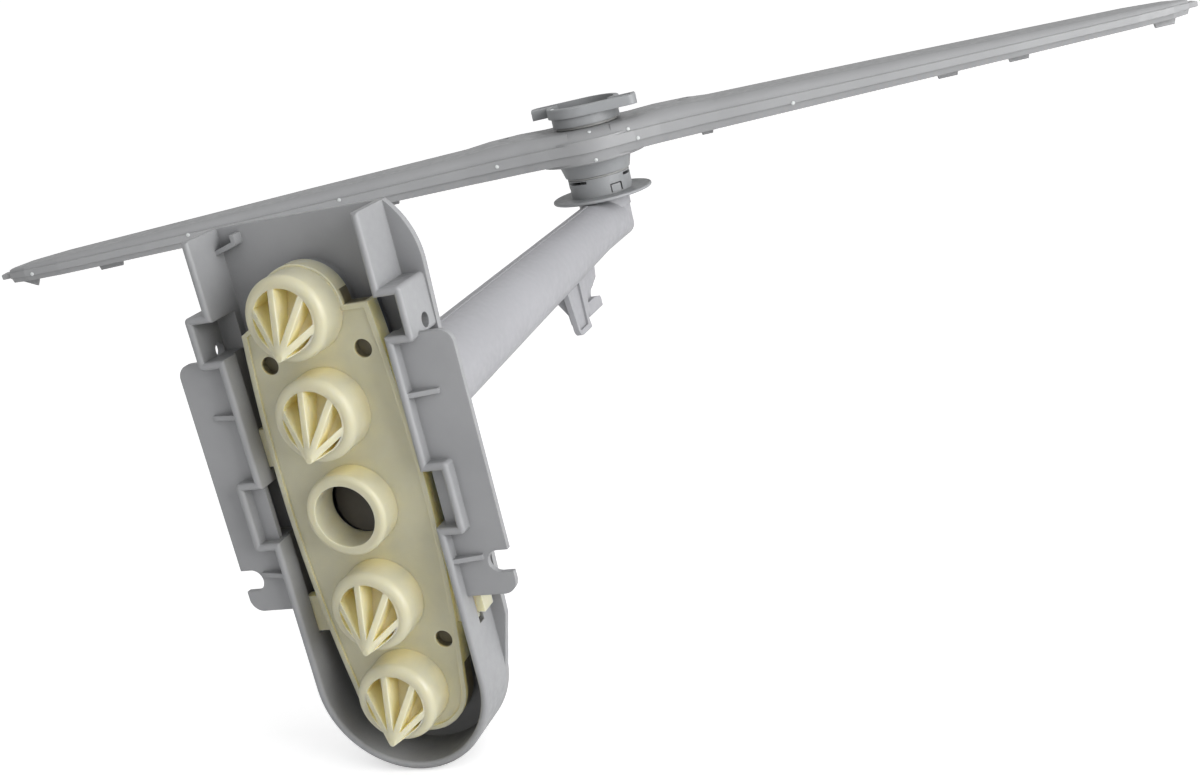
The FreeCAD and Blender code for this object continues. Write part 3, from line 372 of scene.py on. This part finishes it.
def plain_floor(colour, glow):
    """Matt pale floor with a barely visible mottle, lifted towards white where it is seen directly."""
    made = bpy.data.materials.new("pale_floor")
    made.use_nodes = True
    tree = made.node_tree
    shader = tree.nodes["Principled BSDF"]
    shader.inputs["Roughness"].default_value = 0.9
    shader.inputs["Emission Color"].default_value = opaque(colour)
    seen = add_node(tree, "ShaderNodeLightPath").outputs["Is Camera Ray"]
    lift = add_node(tree, "ShaderNodeMath", _operation="MULTIPLY")
    lift.inputs[1].default_value = glow
    tree.links.new(seen, lift.inputs[0])
    tree.links.new(lift.outputs["Value"], shader.inputs["Emission Strength"])
    place = add_node(tree, "ShaderNodeTexCoord").outputs["Object"]
    mottle = add_node(tree, "ShaderNodeTexNoise", Scale=FLOOR_MOTTLE, Detail=2.0)
    tone = add_node(tree, "ShaderNodeMix", _data_type="RGBA")
    tone.inputs[MIX_FIRST].default_value = opaque(colour)
    tone.inputs[MIX_SECOND].default_value = opaque([part * FLOOR_SHADE for part in colour])
    tree.links.new(place, mottle.inputs["Vector"])
    tree.links.new(mottle.outputs["Fac"], tone.inputs[MIX_SHARE])
    tree.links.new(tone.outputs[MIX_RESULT], shader.inputs["Base Color"])
    return made


class SPRAYARM_OT_finishes(bpy.types.Operator):
    """Makes every plastic and rubber, and gives each solid its own"""
    bl_idname = "sprayarm.finishes"
    bl_label = "Finishes"

    def execute(self, context):
        settings = context.scene.sprayarm
        for name in LOOKS:
            made = moulded_plastic(name, getattr(settings, name))
            for node, finish in FINISHES.items():
                if finish == name:
                    for slot in nodes[node].material_slots:
                        slot.material = made
        return {"FINISHED"}


def photo_ray(pixel):
    """Direction in which the photograph's camera sees a pixel."""
    width, height = PHOTO_SIZE
    reach = CAMERA_LENS / CAMERA_SENSOR * width
    local = Vector((pixel[0] - width / 2, height / 2 - pixel[1], -reach))
    return (Euler(CAMERA_TURN).to_matrix() @ local).normalized()


def seat(pixel, carriers):
    """Point and outward direction on the first of the carriers' surfaces behind a pixel."""
    start = Vector(CAMERA_PLACE)
    depsgraph = bpy.context.evaluated_depsgraph_get()
    trees = [BVHTree.FromObject(nodes[name], depsgraph) for name in carriers]
    hits = [tree.ray_cast(start, photo_ray(pixel)) for tree in trees]
    point, normal = min((hit for hit in hits if hit[0]), key=lambda hit: hit[3])[:2]
    return point, -normal if normal.dot(point - start) > 0.0 else normal


def pip_piece(name, pixels, carriers, body, settings):
    """Row of small domes, each square on the surface that carries it."""
    made = bmesh.new()
    for pixel in pixels:
        point, outward = seat(pixel, carriers)
        turn = outward.to_track_quat("Z", "Y").to_matrix().to_4x4()
        grow = Matrix.Diagonal((settings.pips.radius, settings.pips.radius, settings.pips.rise, 1.0))
        dome = bmesh.ops.create_uvsphere(made, u_segments=PIP_SEGMENTS, v_segments=PIP_RINGS, radius=1.0)
        bmesh.ops.transform(made, matrix=Matrix.Translation(point) @ turn @ grow, verts=dome["verts"])
    mesh = bpy.data.meshes.new(name)
    made.to_mesh(mesh)
    made.free()
    mesh.shade_smooth()
    # Pale pip tone: painted highlight
    mesh.materials.append(bpy.data.materials["pip"])
    piece = bpy.data.objects.new(name, mesh)
    bpy.context.scene.collection.objects.link(piece)
    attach(piece, body)


class SPRAYARM_OT_pips(bpy.types.Operator):
    """Sets the small weld pips on the arm and the nut, painted pale as glints of light"""
    bl_idname = "sprayarm.pips"
    bl_label = "Weld pips"

    def execute(self, context):
        settings = context.scene.sprayarm
        pip_piece("arm_pips", ARM_PIPS, ("arm_top_shell", "arm_bottom_shell"), "arm", settings)
        pip_piece("nut_pips", NUT_PIPS, ("lock_nut",), "nut", settings)
        return {"FINISHED"}


def soft_lamp(name, place, aim, size, power):
    """Square area lamp that looks at a point."""
    data = bpy.data.lights.new(name, "AREA")
    data.shape = "SQUARE"
    data.size = size
    data.energy = power
    made = bpy.data.objects.new(name, data)
    made.location = place
    made.rotation_euler = (Vector(aim) - Vector(place)).to_track_quat("-Z", "Y").to_euler()
    bpy.context.scene.collection.objects.link(made)


def even_lamp(name, aim, angle, power):
    """Broad lamp that shines the same way everywhere."""
    data = bpy.data.lights.new(name, "SUN")
    data.energy = power
    data.angle = angle
    made = bpy.data.objects.new(name, data)
    made.rotation_euler = Vector(aim).to_track_quat("-Z", "Y").to_euler()
    bpy.context.scene.collection.objects.link(made)


def curved_floor(stage):
    """Flat round floor whose outer ring climbs along an arc."""
    floor_z = cad_box[0].z - stage.floor_gap
    made = bmesh.new()
    rim = [made.verts.new((x, 0.0, floor_z)) for x in (0.0, stage.floor_flat)]
    made.edges.new(rim)
    bmesh.ops.spin(made, geom=rim[1:], angle=-stage.floor_turn, steps=FLOOR_CURVE_STEPS,
                   dvec=(0.0, 0.0, 0.0), axis=(0.0, 1.0, 0.0),
                   cent=(stage.floor_flat, 0.0, floor_z + stage.floor_curve), use_merge=False)
    bmesh.ops.spin(made, geom=made.verts[:] + made.edges[:], angle=2.0 * math.pi, steps=FLOOR_ROUND_STEPS,
                   dvec=(0.0, 0.0, 0.0), axis=(0.0, 0.0, 1.0), cent=(0.0, 0.0, floor_z), use_merge=True)
    bmesh.ops.remove_doubles(made, verts=made.verts, dist=FLOOR_SEAM_GAP)
    bmesh.ops.recalc_face_normals(made, faces=made.faces)
    mesh = bpy.data.meshes.new("floor")
    made.to_mesh(mesh)
    made.free()
    mesh.shade_smooth()
    mesh.materials.append(plain_floor(stage.floor_colour, stage.floor_glow))
    floor = bpy.data.objects.new("floor", mesh)
    bpy.context.scene.collection.objects.link(floor)


def even_world(power):
    """White surroundings of one strength."""
    world = bpy.data.worlds.new("studio")
    world.use_nodes = True
    world.node_tree.nodes["Background"].inputs["Color"].default_value = (1.0, 1.0, 1.0, 1.0)
    world.node_tree.nodes["Background"].inputs["Strength"].default_value = power
    bpy.context.scene.world = world


def photo_camera():
    """Camera that sees the object as the photograph does."""
    data = bpy.data.cameras.new("photo_camera")
    data.sensor_width = CAMERA_SENSOR
    data.lens = CAMERA_LENS
    data.clip_start, data.clip_end = CAMERA_CLIP
    eye = bpy.data.objects.new("photo_camera", data)
    eye.location = CAMERA_PLACE
    eye.rotation_euler = CAMERA_TURN
    bpy.context.scene.collection.objects.link(eye)
    bpy.context.scene.camera = eye


class SPRAYARM_OT_stage(bpy.types.Operator):
    """Pale floor with a curved back, soft lamps and the camera"""
    bl_idname = "sprayarm.stage"
    bl_label = "Stage"

    def execute(self, context):
        stage = context.scene.sprayarm.stage
        curved_floor(stage)
        even_world(stage.world_power)
        context.scene.view_settings.view_transform = "Standard"
        soft_lamp("side_lamp", SIDE_LAMP_PLACE, SIDE_LAMP_AIM, stage.side_size, stage.side_power)
        even_lamp("even_lamp", EVEN_LAMP_AIM, stage.sun_angle, stage.sun_power)
        photo_camera()
        return {"FINISHED"}


class SPRAYARM_PT_sidebar(bpy.types.Panel):
    """Lists the steps that dress the spray arm"""
    bl_idname = "SPRAYARM_PT_sidebar"
    bl_label = "Spray arm"
    bl_space_type = "VIEW_3D"
    bl_region_type = "UI"
    bl_category = "Spray arm"

    def draw(self, context):
        for step in STEPS:
            self.layout.operator(step.bl_idname)
        for name in LOOKS:
            look = getattr(context.scene.sprayarm, name)
            part = self.layout.box()
            part.label(text=name.capitalize())
            for prop in look.bl_rna.properties:
                if prop.identifier not in ("rna_type", "name"):
                    part.prop(look, prop.identifier)


STEPS = (SPRAYARM_OT_finishes, SPRAYARM_OT_pips, SPRAYARM_OT_stage)
GROUPS = (SPRAYARM_PG_plastic, SPRAYARM_PG_pips, SPRAYARM_PG_stage, SPRAYARM_PG_settings)
CLASSES = GROUPS + STEPS + (SPRAYARM_PT_sidebar,)


def register():
    for cls in CLASSES:
        bpy.utils.register_class(cls)
    bpy.types.Scene.sprayarm = PointerProperty(type=SPRAYARM_PG_settings)


def unregister():
    del bpy.types.Scene.sprayarm
    for cls in reversed(CLASSES):
        bpy.utils.unregister_class(cls)


def set_looks(settings):
    """Gives every finish its own colours and measures in place of the plain grey ones."""
    for name, values in LOOKS.items():
        look = getattr(settings, name)
        for key, value in values.items():
            setattr(look, key, value)


def main():
    register()
    set_looks(bpy.context.scene.sprayarm)
    bpy.ops.sprayarm.finishes()
    bpy.ops.sprayarm.pips()
    bpy.ops.sprayarm.stage()


if __name__ == "__main__":
    main()
